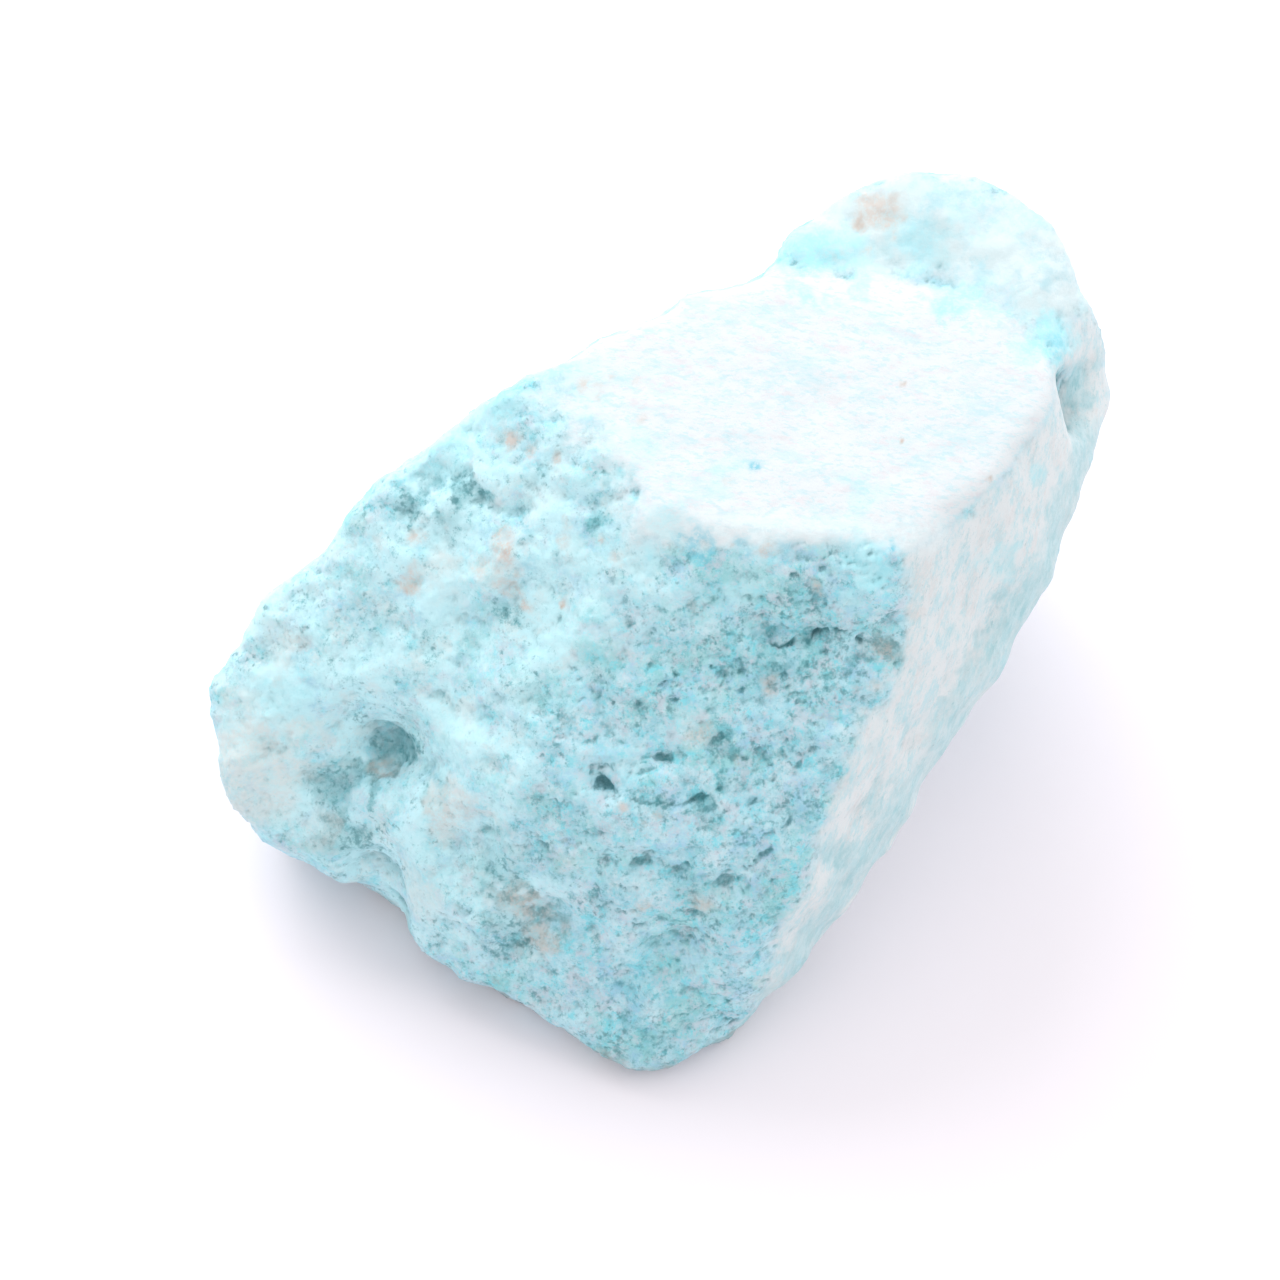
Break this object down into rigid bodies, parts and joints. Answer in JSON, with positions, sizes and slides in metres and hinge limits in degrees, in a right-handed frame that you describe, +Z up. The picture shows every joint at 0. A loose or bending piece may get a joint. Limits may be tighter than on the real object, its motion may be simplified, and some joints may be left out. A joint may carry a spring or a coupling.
{
  "type": "raw chrysocolla stone",
  "caption": "Rough blue-green copper mineral lump: smooth pale top, pitted slope down to a blunt toe, low side lobe and flat underside.",
  "frame": {"origin": "middle of the stone's bounding box in plan, at the height of its flat underside", "axes": "+X along the stone's longest way, from the low lobe towards the far knob; +Y away from the toe; +Z up, from the flat underside to the smooth top"},
  "size_m": [0.0402, 0.0286, 0.0215],
  "materials": {
    "chrysocolla": "raw, dull, porous blue-green mineral with a paler chalky top and side"
  },
  "bodies": {
    "root": {"chrysocolla": "chrysocolla"}
  },
  "joints": []
}
